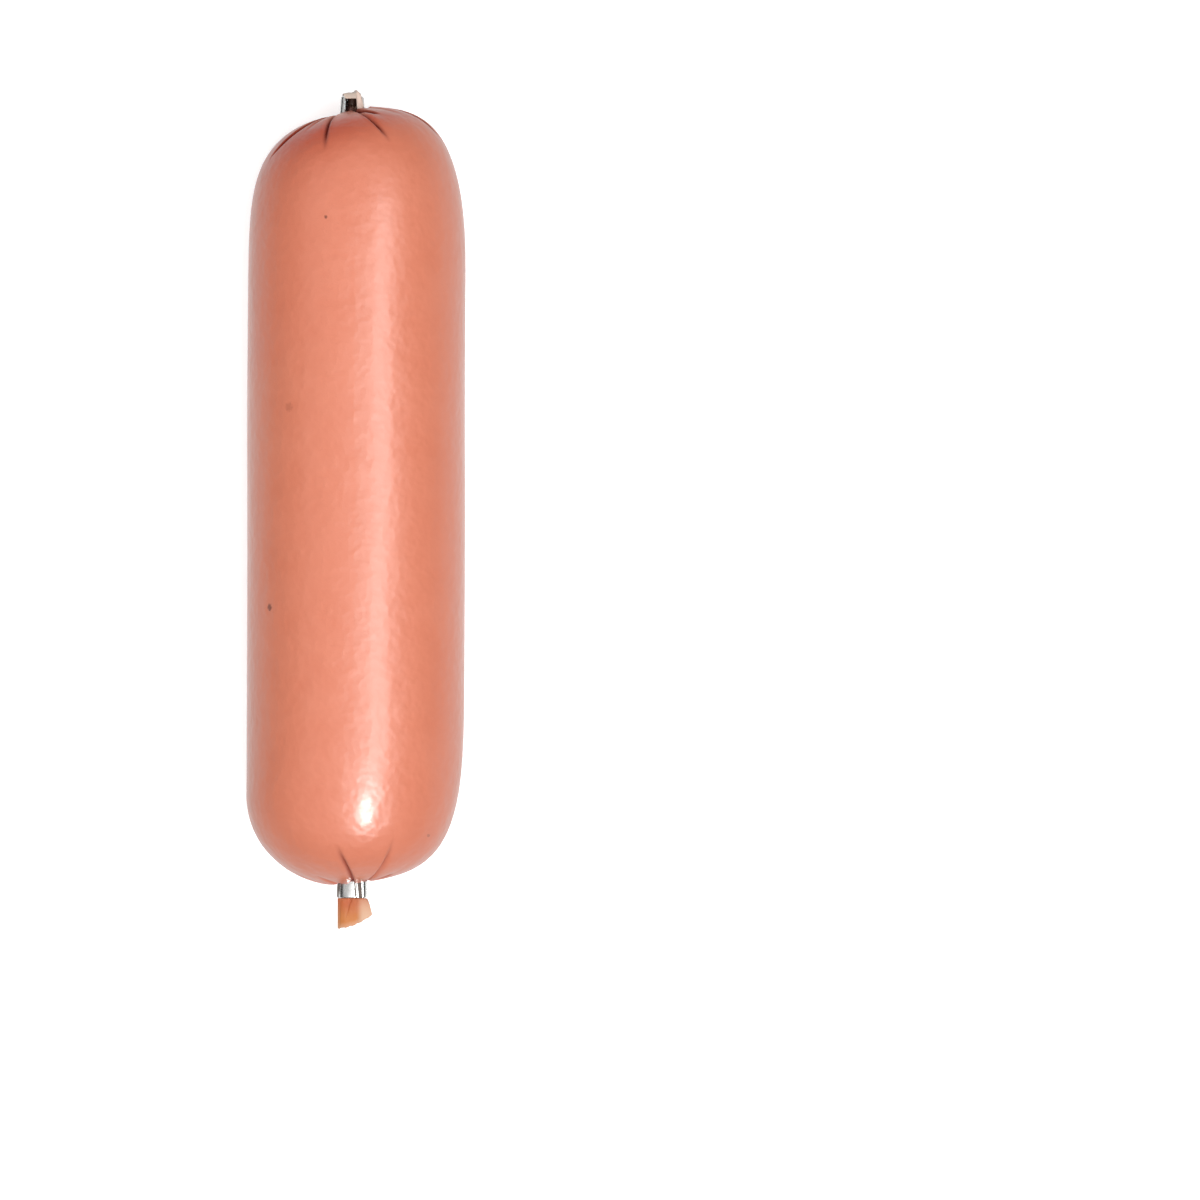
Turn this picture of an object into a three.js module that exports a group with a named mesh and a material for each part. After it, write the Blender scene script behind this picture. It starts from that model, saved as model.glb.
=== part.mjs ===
// A whole mortadella of the small kind: fine pink meat filled into a tight round film casing, uncut.
// It lies on its side along Y with its shown side up. Both ends are gathered into pleats and held by
// a bent metal clip, and a short tail of cut casing stands out of each clip.
// Millimetres, +Z up. Z = 0 is the surface it lies on, X = 0 and Y = 0 the middle of width and length.

import * as THREE from "three";
import { LoftGeometry } from "three/addons/geometries/LoftGeometry.js";

const { lerp, clamp, smoothstep, degToRad } = THREE.MathUtils;

// The filled casing: its calibre, and how far its own weight presses the underside flat.
const CALIBRE = 60;
const UNDERSIDE_SAG = 0.8;
const AXIS_HEIGHT = CALIBRE / 2 - UNDERSIDE_SAG;

// One clip: flat wire bent to a U round the gathered casing. Across is over both legs, along is from
// the bridge to the tips, and the band is the wire's width, along the sausage. The die pinches the legs
// together a little on the tail's side.
const CLIP_ACROSS = 7;
const CLIP_ALONG = 8.2;
const CLIP_BAND = 5;
const CLIP_PINCH = 0.88;
const CLIP_WIRE = 1.8;
const CLIP_TIP_ROUND = 1.4;
const CLIP_EDGE = 0.25;

// The gathered casing where it passes through a clip.
const NECK_ACROSS = 2.5;
const NECK_ALONG = 3.8;
const FIT_GAP = 0.3;

// The hollow that the meat leaves round the inner end of a clip.
const POCKET_CLEARANCE = 0.5;
const POCKET_WALL = 0.9;
const POCKET_SQUARENESS = 4;

// Pleats: their grooves start where the casing is gathered and die out on the shoulder, and the film
// between two grooves bulges. Sweeps are given from GATHER_RADIUS out to SWEEP_RADIUS.
const GATHER_RADIUS = 12;
const SWEEP_RADIUS = 24;
const SWEEP_PAST_GATHER = 0.3;
const BARREL_EDGE = 29.5;
const LOBE_RISE = 0.55;
const LOBE_FADE = 13;
const GROOVE_HALF_WIDTH = 0.6;
const GROOVE_FADES_FROM = 0.5;

// Each clip stands a little off the axis. The skin leans over to it from LEAN_RADIUS inwards, and the
// part within KNOT_RADIUS is straight behind the clip.
const LEAN_RADIUS = 24;
const KNOT_RADIUS = 5;

// How finely the skin is divided, and the slope that stands for the upright wall of the barrel.
const COLUMNS_PER_LOBE = 6;
const SHOULDER_RINGS = 16;
const SHOULDER_CROWDING = 2.2;
const BARREL_RINGS = 4;
const UPRIGHT = 1000;

// Each end of the sausage. The two sides of a shoulder are drawn by a curve each: at a share s of the
// radius it stands shoulder + dome * (1 - s ^ around) ^ (1 / along) from the middle of the length.
// A pleat has its angle round the axis, from +X towards +Z, its sweep, its reach and its depth.
const FAR_END = {
  direction: 1,
  right: { radius: 30.2, shoulder: 66.2, dome: 44.6, around: 3.7, along: 2.5 },
  left: { radius: 29.8, shoulder: 39.5, dome: 68.4, around: 2.36, along: 6 },
  clipX: -0.95,
  clipInnerFace: 108.8,
  clipOpens: 90,
  pleats: [
    { angle: 19, sweep: -5, reach: 23, depth: 0.8 },
    { angle: 44, sweep: -4, reach: 18, depth: 0.3 },
    { angle: 57, sweep: -2, reach: 15, depth: 1 },
    { angle: 80, sweep: -18, reach: 25, depth: 1.1 },
    { angle: 117, sweep: -6, reach: 24, depth: 1 },
    { angle: 133, sweep: 0, reach: 21, depth: 0.3 },
    { angle: 145, sweep: 8, reach: 26, depth: 1.1 },
    { angle: 178, sweep: 4, reach: 20, depth: 0.6 },
    { angle: 212, sweep: 6, reach: 25, depth: 1 },
    { angle: 246, sweep: -4, reach: 22, depth: 0.8 },
    { angle: 281, sweep: 5, reach: 25, depth: 1.1 },
    { angle: 324, sweep: -6, reach: 22, depth: 0.8 },
  ],
};
const NEAR_END = {
  direction: -1,
  right: { radius: 30, shoulder: 16.3, dome: 85.5, around: 2.7, along: 6 },
  left: { radius: 30.2, shoulder: 78.4, dome: 24.7, around: 2.44, along: 2 },
  clipX: -1.1,
  clipInnerFace: 101.9,
  clipOpens: 0,
  pleats: [
    { angle: 12, sweep: 3, reach: 17, depth: 0.5 },
    { angle: 40, sweep: 0, reach: 15, depth: 0.6 },
    { angle: 66, sweep: 1, reach: 25, depth: 0.9 },
    { angle: 95, sweep: 5, reach: 24, depth: 0.9 },
    { angle: 128, sweep: 3, reach: 16, depth: 0.3 },
    { angle: 158, sweep: 4, reach: 18, depth: 0.5 },
    { angle: 186, sweep: 3, reach: 21, depth: 0.8 },
    { angle: 219, sweep: -5, reach: 24, depth: 1 },
    { angle: 247, sweep: 4, reach: 21, depth: 0.7 },
    { angle: 276, sweep: 6, reach: 25, depth: 1 },
    { angle: 309, sweep: -4, reach: 22, depth: 0.8 },
    { angle: 340, sweep: 3, reach: 20, depth: 0.7 },
  ],
};

// The tail beyond each clip, in the clip's own frame: Y points out of the sausage. Folds are given as
// waves round the tail, each with its count, its size and the angle it is turned by.
const TAIL_DIVISIONS = 52;

// The near tail is a fan of folded casing cut off on a slant. Its sides are drawn at these shares of
// the way out, and its cut end is dished: each rim is this much smaller and lower than the cut.
const FAN_WIDTH_AT_CLIP = 7.8;
const FAN_WIDTH_AT_CUT = 9.4;
const FAN_SHIFT_AT_CUT = -0.7;
const FAN_DEPTH_AT_CLIP = 2.7;
const FAN_DEPTH_AT_CUT = 3.4;
const FAN_LONG_SIDE = 8.5;
const FAN_SHORT_SIDE = 4.8;
const FAN_CUT_BOW = 0.8;
const FAN_FOLDS = [
  { count: 7, size: 0.084, turn: 0.7 },
  { count: 4, size: 0.056, turn: 0 },
];
const FAN_STATIONS = [0, 0.12, 0.35, 0.65, 1];
const FAN_DISH = [
  { size: 0.72, sunk: 0.5 },
  { size: 0.35, sunk: 1.1 },
  { size: 0.15, sunk: 0.9 },
];

// The far tail is a short frill, and one side of it, the flap, hangs back over the tip of a leg.
const FRILL_RADIUS = 2.8;
const FRILL_HEIGHT = 0.9;
const FRILL_TILT = 0.4;
const FRILL_FOLDS = [
  { count: 5, size: 0.16, turn: -0.97 },
  { count: 8, size: 0.1, turn: -1.57 },
];
const FRILL_PEAK = { height: 0.5, angle: 55, halfWidth: 60 };
const FRILL_HOLLOW = { radius: 0.8, floor: 0.4, rise: 0.2 };
const FLAP = { drop: 3, angle: 70, halfWidth: 24, start: 0.12 };
const FILM_BUNDLE = 0.5;
const FILM_LIP = 0.12;

const TURN = 2 * Math.PI;

// The distance from the centre of an oval of these half sizes to its edge, at an angle. Squareness 2
// makes it an ellipse, and more fills out its corners.
function ovalRadius(halfX, halfZ, angle, squareness = 2) {
  const x = Math.abs(Math.cos(angle) / halfX) ** squareness;
  const z = Math.abs(Math.sin(angle) / halfZ) ** squareness;
  return (x + z) ** (-1 / squareness);
}

// The smaller angle between two directions.
const angleBetween = (a, b) => Math.abs(Math.atan2(Math.sin(a - b), Math.cos(a - b)));

// A bump that is 1 at its angle and falls smoothly to 0 at its half width, both in degrees.
function angularBump(turn, { angle, halfWidth }) {
  const away = angleBetween(turn, degToRad(angle)) / degToRad(halfWidth);
  return away < 1 ? Math.cos((away * Math.PI) / 2) ** 2 : 0;
}

// The sum of the waves of a folded tail at an angle round it.
const foldedAt = (folds, angle) =>
  folds.reduce((sum, { count, size, turn }) => sum + size * Math.cos(count * angle + turn), 0);

// The half sizes, along X and Z, of something that lies in a clip that opens at this angle.
function inClipFrame(end, across, along) {
  const opensUp = Math.abs(Math.sin(degToRad(end.clipOpens))) > 0.5;
  return opensUp ? [across / 2, along / 2] : [along / 2, across / 2];
}

// ---- The filled casing ----

// One value of an end's shoulder at an angle: its right side's on +X, its left side's on -X.
function shoulderAt(end, angle) {
  const rightShare = (1 + Math.cos(angle)) / 2;
  const mixed = {};
  for (const key of Object.keys(end.right)) {
    mixed[key] = lerp(end.left[key], end.right[key], rightShare);
  }
  return mixed;
}

// The angle of a pleat at a distance from the axis.
function pleatAngle(pleat, radius) {
  const outward = (radius - GATHER_RADIUS) / (SWEEP_RADIUS - GATHER_RADIUS);
  return degToRad(pleat.angle + pleat.sweep * clamp(outward, -SWEEP_PAST_GATHER, 1));
}

// A column of the skin keeps its place within one lobe: crowded towards the lobe's two grooves.
function columnPlace(column) {
  const lobe = Math.floor(column / COLUMNS_PER_LOBE);
  const step = (column % COLUMNS_PER_LOBE) / COLUMNS_PER_LOBE;
  return { lobe, across: (1 - Math.cos(Math.PI * step)) / 2 };
}

// The angle of a column that follows the pleats of an end.
function pleatedAngle(end, column, radius) {
  const { lobe, across } = columnPlace(column);
  const count = end.pleats.length;
  const start = pleatAngle(end.pleats[lobe], radius);
  const next = pleatAngle(end.pleats[(lobe + 1) % count], radius) + (lobe + 1 === count ? TURN : 0);
  return lerp(start, next, across);
}

// The angle of a column: along the barrel it runs straight, halfway between its places at the ends.
function columnAngle(end, column, radius) {
  const [near, far] = [NEAR_END, FAR_END].map((either) => pleatedAngle(either, column, SWEEP_RADIUS));
  const outward = smoothstep(radius, SWEEP_RADIUS, BARREL_EDGE);
  return lerp(pleatedAngle(end, column, radius), (near + far) / 2, outward);
}

// How far the skin stands out of the plain shoulder: lobes bulge, grooves cut in beside them.
function pleatRelief(end, column, angle, radius) {
  const { lobe, across } = columnPlace(column);
  const bulge = LOBE_RISE * Math.exp(-((radius / LOBE_FADE) ** 2)) * Math.sin(Math.PI * across);
  const grooves = [end.pleats[lobe], end.pleats[(lobe + 1) % end.pleats.length]].map((pleat) => {
    const away = radius * angleBetween(angle, pleatAngle(pleat, radius));
    const fade = 1 - smoothstep(radius, GROOVE_FADES_FROM * pleat.reach, pleat.reach);
    return pleat.depth * fade * Math.exp(-((away / GROOVE_HALF_WIDTH) ** 2));
  });
  return bulge - Math.max(...grooves);
}

// A point of the skin, kept above the surface it lies on.
function skinPoint(end, radius, angle, fromMiddle) {
  const offAxis = end.clipX * (1 - smoothstep(radius, KNOT_RADIUS, LEAN_RADIUS));
  const x = offAxis + radius * Math.cos(angle);
  const z = Math.max(AXIS_HEIGHT + radius * Math.sin(angle), 0);
  return new THREE.Vector3(x, end.direction * fromMiddle, z);
}

// The rings of one end, from the barrel in to the middle of the clip.
function endRings(end) {
  const columns = end.pleats.length * COLUMNS_PER_LOBE;
  const clipHalves = inClipFrame(end, CLIP_ACROSS, CLIP_ALONG);
  const [pocketX, pocketZ] = clipHalves.map((half) => half + POCKET_CLEARANCE);
  const [neckX, neckZ] = inClipFrame(end, NECK_ACROSS, NECK_ALONG);
  const pocketFloor = end.clipInnerFace - FIT_GAP;
  const neckEnd = end.clipInnerFace + (CLIP_BAND - FIT_GAP) / 2;
  const ring = (pointAt) => Array.from({ length: columns }, (_, column) => pointAt(column));

  const rings = [];
  for (let step = 0; step <= SHOULDER_RINGS; step++) {
    const share = 1 - (step / SHOULDER_RINGS) ** SHOULDER_CROWDING;
    rings.push(
      ring((column) => {
        const nominal = lerp(CLIP_ALONG / 2, CALIBRE / 2, share);
        const angle = columnAngle(end, column, nominal);
        const { radius, shoulder, dome, around, along } = shoulderAt(end, angle);
        const rim = ovalRadius(pocketX + POCKET_WALL, pocketZ + POCKET_WALL, angle, POCKET_SQUARENESS);
        const plain = lerp(rim, radius, share);
        const s = Math.min(plain / radius, 1);
        const left = 1 - s ** around;
        const height = dome * left ** (1 / along);
        const slope = left > 0 ? (height * around * s ** (around - 1)) / (along * left) : UPRIGHT;
        const relief = pleatRelief(end, column, angle, plain) / Math.hypot(slope, radius);
        return skinPoint(end, plain + relief * slope, angle, shoulder + height + relief * radius);
      }),
    );
  }
  const pocketRing = ring((column) => {
    const angle = columnAngle(end, column, 0);
    return skinPoint(end, ovalRadius(pocketX, pocketZ, angle, POCKET_SQUARENESS), angle, pocketFloor);
  });
  const neckRing = (fromMiddle) =>
    ring((column) => {
      const turn = degToRad(end.pleats[0].angle) + (column / columns) * TURN;
      const x = end.clipX + neckX * Math.cos(turn);
      return new THREE.Vector3(x, end.direction * fromMiddle, AXIS_HEIGHT + neckZ * Math.sin(turn));
    });
  rings.push(pocketRing, neckRing(pocketFloor), neckRing(neckEnd));
  return rings;
}

// The whole skin: the near end turned round, the barrel between, the far end.
function filledCasing() {
  const nearRings = endRings(NEAR_END).reverse();
  const farRings = endRings(FAR_END);
  const barrelStart = nearRings[nearRings.length - 1];
  const barrelEnd = farRings[0];
  const barrelRings = [];
  for (let step = 1; step < BARREL_RINGS; step++) {
    const share = step / BARREL_RINGS;
    barrelRings.push(barrelStart.map((point, column) => point.clone().lerp(barrelEnd[column], share)));
  }
  return closedLoft([...nearRings, ...barrelRings, ...farRings]);
}

// A skin over rings that follow each other along +Y, closed at both ends. Each ring is drawn from +X
// towards +Z, which is clockwise seen from the last one, so each is turned round to face out.
function closedLoft(rings) {
  const turned = rings.map((ring) => [...ring].reverse());
  return new LoftGeometry(turned, { capStart: true, capEnd: true });
}

// ---- A clip ----

// The bent wire seen along the sausage: the bridge at -Y, two legs and rounded tips at +Y.
function clipOutline() {
  const outer = CLIP_ACROSS / 2;
  const inner = outer - CLIP_WIRE;
  const bridgeCentre = outer - CLIP_ALONG / 2;
  const tip = CLIP_ALONG / 2;
  const shape = new THREE.Shape();
  shape.moveTo(outer, bridgeCentre);
  shape.lineTo(outer, tip - CLIP_TIP_ROUND);
  shape.absarc(outer - CLIP_TIP_ROUND, tip - CLIP_TIP_ROUND, CLIP_TIP_ROUND, 0, Math.PI / 2, false);
  shape.quadraticCurveTo(inner - CLIP_EDGE, tip, inner - CLIP_EDGE, tip - CLIP_TIP_ROUND / 2);
  shape.lineTo(inner, tip - CLIP_WIRE);
  shape.lineTo(inner, bridgeCentre);
  shape.absarc(0, bridgeCentre, inner, 0, Math.PI, true);
  shape.lineTo(-inner, tip - CLIP_WIRE);
  shape.lineTo(CLIP_EDGE - inner, tip - CLIP_TIP_ROUND / 2);
  shape.quadraticCurveTo(CLIP_EDGE - inner, tip, CLIP_TIP_ROUND - outer, tip);
  shape.absarc(CLIP_TIP_ROUND - outer, tip - CLIP_TIP_ROUND, CLIP_TIP_ROUND, Math.PI / 2, Math.PI, false);
  shape.lineTo(-outer, bridgeCentre);
  shape.absarc(0, bridgeCentre, outer, Math.PI, TURN, false);
  return shape;
}

// The clip in its own frame: its inner face at Y = 0, its legs pointing along +Z.
function clipBody() {
  const geometry = new THREE.ExtrudeGeometry(clipOutline(), {
    depth: CLIP_BAND - 2 * CLIP_EDGE,
    curveSegments: 8,
    bevelThickness: CLIP_EDGE,
    bevelSize: CLIP_EDGE,
    bevelOffset: -CLIP_EDGE,
    bevelSegments: 1,
  });
  geometry.rotateX(Math.PI / 2);
  geometry.translate(0, CLIP_BAND - CLIP_EDGE, 0);
  const place = geometry.attributes.position;
  for (let corner = 0; corner < place.count; corner++) {
    place.setX(corner, place.getX(corner) * lerp(1, CLIP_PINCH, place.getY(corner) / CLIP_BAND));
  }
  geometry.computeVertexNormals();
  return geometry;
}

// ---- The tails ----

const tailRing = (pointAt) =>
  Array.from({ length: TAIL_DIVISIONS }, (_, step) => pointAt((step / TAIL_DIVISIONS) * TURN));

const polarPoint = (radius, angle, y) =>
  new THREE.Vector3(radius * Math.cos(angle), y, radius * Math.sin(angle));

// The near tail: it fans out flat beyond the clip in uneven folds, and the cut runs on a slant.
function fanTail(halfX, halfZ) {
  const start = (CLIP_BAND + FIT_GAP) / 2;
  const leave = CLIP_BAND + FIT_GAP;
  const cutAt = (x) => {
    const fromShort = clamp(0.5 + (x - FAN_SHIFT_AT_CUT) / FAN_WIDTH_AT_CUT, 0, 1);
    const bow = FAN_CUT_BOW * Math.sin(Math.PI * fromShort);
    return CLIP_BAND + lerp(FAN_SHORT_SIDE, FAN_LONG_SIDE, fromShort) + bow;
  };
  const fanRing = (outward, size, sunk) =>
    tailRing((angle) => {
      const halfWidth = (size * lerp(FAN_WIDTH_AT_CLIP, FAN_WIDTH_AT_CUT, Math.sqrt(outward))) / 2;
      const halfDepth = (size * lerp(FAN_DEPTH_AT_CLIP, FAN_DEPTH_AT_CUT, outward)) / 2;
      const folded = 1 + foldedAt(FAN_FOLDS, angle) * Math.abs(Math.sin(angle));
      const x = halfWidth * Math.cos(angle) + FAN_SHIFT_AT_CUT * Math.sqrt(outward);
      const y = lerp(leave + FIT_GAP, cutAt(x), outward) - sunk;
      return new THREE.Vector3(x, y, halfDepth * folded * Math.sin(angle));
    });
  const neckRing = (y) => tailRing((angle) => polarPoint(ovalRadius(halfX, halfZ, angle), angle, y));
  const sides = FAN_STATIONS.map((outward) => fanRing(outward, 1, 0));
  const dish = FAN_DISH.map(({ size, sunk }) => fanRing(1, size, sunk));
  return closedLoft([neckRing(start), neckRing(leave), ...sides, ...dish]);
}

// The far tail: a frill over the clip's outer face, with one flap that folds back over a leg's tip.
function frillTail(halfX, halfZ) {
  const start = (CLIP_BAND + FIT_GAP) / 2;
  const under = CLIP_BAND + FIT_GAP;
  const neck = (angle) => ovalRadius(halfX, halfZ, angle);
  const pinchedAcross = (CLIP_ACROSS * (1 + CLIP_PINCH)) / 2;
  const clearOfClip = (angle) => {
    const inX = Math.abs(Math.cos(angle)) / pinchedAcross;
    const inZ = Math.abs(Math.sin(angle)) / CLIP_ALONG;
    return 0.5 / Math.max(inX, inZ) + FIT_GAP;
  };
  const pastEdge = (angle) => smoothstep(angularBump(angle, FLAP), 0, FLAP.start);
  const frilled = (angle) => FRILL_RADIUS + foldedAt(FRILL_FOLDS, angle);
  const rim = (angle) => lerp(frilled(angle), clearOfClip(angle), pastEdge(angle));
  const hang = (angle) => {
    const past = Math.max(angularBump(angle, FLAP) - FLAP.start, 0);
    return (FLAP.drop * past) / (1 - FLAP.start);
  };
  const top = (angle) => {
    const towardsFlap = Math.cos(angle - degToRad(FLAP.angle));
    return under + FRILL_HEIGHT * (1 + FRILL_TILT * (towardsFlap - 1)) + foldedAt(FRILL_FOLDS, angle);
  };
  const peak = (angle) => FRILL_PEAK.height * angularBump(angle, FRILL_PEAK);
  const stations = [
    [neck, () => start],
    [neck, () => under],
    [(angle) => (neck(angle) + rim(angle)) / 2, () => under],
    [rim, () => under],
    [rim, (angle) => under + FILM_LIP - hang(angle)],
    [(angle) => rim(angle) + FILM_BUNDLE, (angle) => under + 2 * FILM_LIP - hang(angle)],
    [rim, (angle) => (under + top(angle)) / 2 + FILM_LIP],
    [(angle) => (3 / 4) * rim(angle), (angle) => top(angle) + peak(angle) / 2],
    [(angle) => rim(angle) / 2, (angle) => top(angle) + peak(angle)],
    [() => FRILL_HOLLOW.radius, () => under + FRILL_HOLLOW.floor],
    [() => FRILL_HOLLOW.radius / 2, () => under + FRILL_HOLLOW.floor + FRILL_HOLLOW.rise],
  ];
  return closedLoft(
    stations.map(([radiusAt, yAt]) => tailRing((angle) => polarPoint(radiusAt(angle), angle, yAt(angle)))),
  );
}

// ---- Materials and the whole ----

const casingFilm = new THREE.MeshStandardMaterial({ color: 0xde8c72, roughness: 0.32, metalness: 0 });
const clipMetal = new THREE.MeshStandardMaterial({ color: 0xc4c2bd, roughness: 0.3, metalness: 1 });
const fanFilm = new THREE.MeshStandardMaterial({ color: 0xcf8a52, roughness: 0.4, metalness: 0 });
const frillFilm = new THREE.MeshStandardMaterial({ color: 0xd8bfae, roughness: 0.45, metalness: 0 });

function namedMesh(name, geometry, material) {
  const mesh = new THREE.Mesh(geometry, material);
  mesh.name = name;
  return mesh;
}

// The clip and the tail of one end, in a group that stands at the clip's inner face, Y outwards.
function closure(end, names, tailGeometry) {
  const group = new THREE.Group();
  group.position.set(end.clipX, end.direction * end.clipInnerFace, AXIS_HEIGHT);
  group.rotation.z = end.direction > 0 ? 0 : Math.PI;
  const clip = namedMesh(names.clip, clipBody(), clipMetal);
  clip.rotation.y = -end.direction * degToRad(end.clipOpens - 90);
  const tail = namedMesh(names.tail, tailGeometry, names.tailMaterial);
  group.add(clip, tail);
  return group;
}

const mortadella = new THREE.Group();
mortadella.add(namedMesh("filled_casing", filledCasing(), casingFilm));
mortadella.add(
  closure(
    FAR_END,
    { clip: "clip_far", tail: "tail_far", tailMaterial: frillFilm },
    frillTail(...inClipFrame(FAR_END, NECK_ACROSS, NECK_ALONG)),
  ),
);
mortadella.add(
  closure(
    NEAR_END,
    { clip: "clip_near", tail: "tail_near", tailMaterial: fanFilm },
    fanTail(...inClipFrame(NEAR_END, NECK_ACROSS, NECK_ALONG)),
  ),
);

export default mortadella;
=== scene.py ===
"""A whole mortadella of the small kind, in a tight glossy film casing closed by a metal clip at each
end, lying on a pale floor and seen from straight above."""

import bpy
import numpy as np
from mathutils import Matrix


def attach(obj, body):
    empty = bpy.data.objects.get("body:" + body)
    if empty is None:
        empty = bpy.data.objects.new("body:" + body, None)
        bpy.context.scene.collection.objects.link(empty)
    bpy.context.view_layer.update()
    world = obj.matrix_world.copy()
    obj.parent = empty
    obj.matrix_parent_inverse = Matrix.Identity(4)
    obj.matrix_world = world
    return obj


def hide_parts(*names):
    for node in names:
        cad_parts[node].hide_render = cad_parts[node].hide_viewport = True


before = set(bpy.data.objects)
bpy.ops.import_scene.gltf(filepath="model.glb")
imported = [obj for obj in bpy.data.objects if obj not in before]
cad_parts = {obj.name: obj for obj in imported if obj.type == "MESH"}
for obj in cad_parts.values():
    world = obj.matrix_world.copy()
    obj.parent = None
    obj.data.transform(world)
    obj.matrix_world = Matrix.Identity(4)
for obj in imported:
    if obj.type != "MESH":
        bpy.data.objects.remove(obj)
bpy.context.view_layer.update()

# ---- The filled casing ----
# A round film casing filled tight with fine pink meat and left uncut. Each end is gathered into twelve
# pleats that run into a metal clip, and the film between two pleats bulges over the clip's inner end.
# It lies on its side, and its own weight presses the underside a little flat.

MM = 0.001
CALIBRE = 60.0
AXIS_HEIGHT = 29.2

# The clip that the gathered film passes through, and the neck of film inside it.
CLIP_ACROSS, CLIP_ALONG, CLIP_BAND, CLIP_PINCH = 7.0, 8.2, 5.0, 0.88
NECK_ACROSS, NECK_ALONG, NECK_FOLDS, NECK_FOLD_SIZE = 2.8, 4.2, 9, 0.05
FIT_GAP = 0.3
POCKET_CLEARANCE, POCKET_WALL, POCKET_SQUARENESS = 0.5, 0.9, 4

# The film bulges between pleats near the clip. At a pleat it folds under on the side of the lip.
LOBES = 12
LOBE_RISE, LOBE_FADE = 0.55, 13.0
FOLD_SHARP_SIDE, FOLD_SOFT_SIDE, FOLD_FADES_FROM = 0.42, 0.9, 0.7
LIP_RISE, LIP_PLACE, LIP_WIDTH = 0.16, 0.85, 0.4
CREASE_HALF_WIDTH, CREASE_FADES_FROM = 0.62, 0.82
RAY_COUNT, RAY_SIZE, RAY_FADE = 48, 0.05, 9.0
# How far the painted sheen of the gathered film reaches, where the painted shade of its bundle starts, and
# where a band of painted shade lies round the far shoulder: in mm from the axis on the right and on the
# left, how wide, and its share on the right.
GATHERED_FADE, BUNDLE_FROM = 7.5, 0.3
FAR_SHADE_PLACES, FAR_SHADE_WIDTH, FAR_SHADE_ON_RIGHT = (14.0, 22.0), 6.0, 0.5
LEAN_RADIUS, KNOT_RADIUS = 24.0, 5.0
FOLLOWS_PLEATS, BARREL_EDGE = 24.0, 29.5

# The neck and the tail's root each end this far from the middle of the clip.
HALF_GAP = 0.03

# Rings crowd towards the barrel, where the shoulder is steepest: the power at the clip, and how much
# it grows to the barrel.
CROWDING_AT_CLIP, CROWDING_GROWTH = 2.2, 2.8
COLUMNS_PER_LOBE = 24
SHOULDER_RINGS, BARREL_RINGS, LIP_RINGS, POCKET_RINGS, NECK_RINGS = 140, 16, 6, 4, 4

# An end's two sides: the radius, how far from the middle the shoulder starts, how far it domes, and
# the powers of its curve round and along. A pleat: its angles from +X towards +Z at 6, 15 and 24 mm
# from the axis, its reach and depth, the side of its lip, and how dark the painted shade in its crease is.
FAR_END = {
    "direction": 1,
    "right": np.array([30.2, 66.2, 44.6, 3.7, 2.5]),
    "left": np.array([29.8, 39.5, 68.4, 2.36, 6.0]),
    "clip_x": -0.95,
    "clip_face": 108.8,
    "far_shade_strength": 1.0,
    "opens_up": True,
    "pleats": np.array(
        [
            [20, 20, 12, 25, 0.8, -1, 0.7],
            [46, 42, 33, 18, 0.3, 1, 0.1],
            [82, 66, 50, 17, 0.9, -1, 1.0],
            [86, 79, 67.5, 25.2, 1.2, 1, 1.0],
            [115, 113, 108.3, 26, 1.2, -1, 0.9],
            [131, 130, 130, 21, 0.3, 1, 0.1],
            [139, 140, 153, 26.5, 1.3, 1, 0.9],
            [176, 179, 183, 20, 0.6, 1, 0.5],
            [210, 213, 219, 25, 1.0, -1, 0.8],
            [248, 246, 242, 22, 0.8, 1, 0.7],
            [279, 282, 287, 25, 1.1, 1, 0.9],
            [327, 323, 318, 22, 0.8, -1, 0.7],
        ]
    ),
}
NEAR_END = {
    "direction": -1,
    "right": np.array([30.0, 16.3, 85.5, 2.7, 6.0]),
    "left": np.array([30.2, 78.4, 24.7, 2.44, 2.0]),
    "clip_x": -1.1,
    "clip_face": 101.9,
    "far_shade_strength": 0.0,
    "opens_up": False,
    "pleats": np.array(
        [
            [11, 13, 15, 17, 0.5, 1, 0.4],
            [40, 40, 41, 15, 0.6, -1, 0.4],
            [59, 64, 64, 26, 0.9, 1, 0.25],
            [86, 91.5, 99.5, 25, 0.75, -1, 0.65],
            [127, 129, 131, 16, 0.3, 1, 0.1],
            [156, 159, 162, 18, 0.5, -1, 0.3],
            [185, 187, 189, 21, 0.8, 1, 0.7],
            [221, 218, 214, 24, 1.0, 1, 0.8],
            [246, 248, 251, 21, 0.7, -1, 0.6],
            [274, 277, 282, 25, 1.0, 1, 0.9],
            [310, 308, 305, 22, 0.8, -1, 0.7],
            [339, 341, 343, 20, 0.7, 1, 0.6],
        ]
    ),
}


def lerp(start, end, share):
    """start at share 0, end at share 1, in a straight line between."""
    return start + (end - start) * share


def smooth_step(value, low, high):
    """0 up to low, 1 from high, and 3 t^2 - 2 t^3 at the share t of the way between."""
    t = np.clip((value - low) / (high - low), 0, 1)
    return t * t * (3 - 2 * t)


def signed_turn(angle, other):
    """The turn from the other angle to this one, from -180 to 180 degrees."""
    return (angle - other + 180) % 360 - 180


def oval_radius(half_x, half_z, angle, squareness=2):
    """From the centre of an oval to its edge: (|cos / half_x|^n + |sin / half_z|^n)^(-1 / n)."""
    turn = np.radians(angle)
    x = np.abs(np.cos(turn) / half_x) ** squareness
    z = np.abs(np.sin(turn) / half_z) ** squareness
    return (x + z) ** (-1 / squareness)


def in_clip_frame(end, across, along):
    """The half sizes along X and Z of something that lies in a clip, which opens up or sideways."""
    return (across / 2, along / 2) if end["opens_up"] else (along / 2, across / 2)


def pleat_path(end, pleat, radius):
    """The angle of pleats at a radius: the parabola through their angles at 6, 15 and 24 mm."""
    at_6, at_15, at_24 = end["pleats"][pleat, :3].T
    step = (np.clip(radius, 4.5, 25) - 15) / 9
    return at_15 + step * (at_24 - at_6) / 2 + step**2 * (at_24 + at_6 - 2 * at_15) / 2


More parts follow.
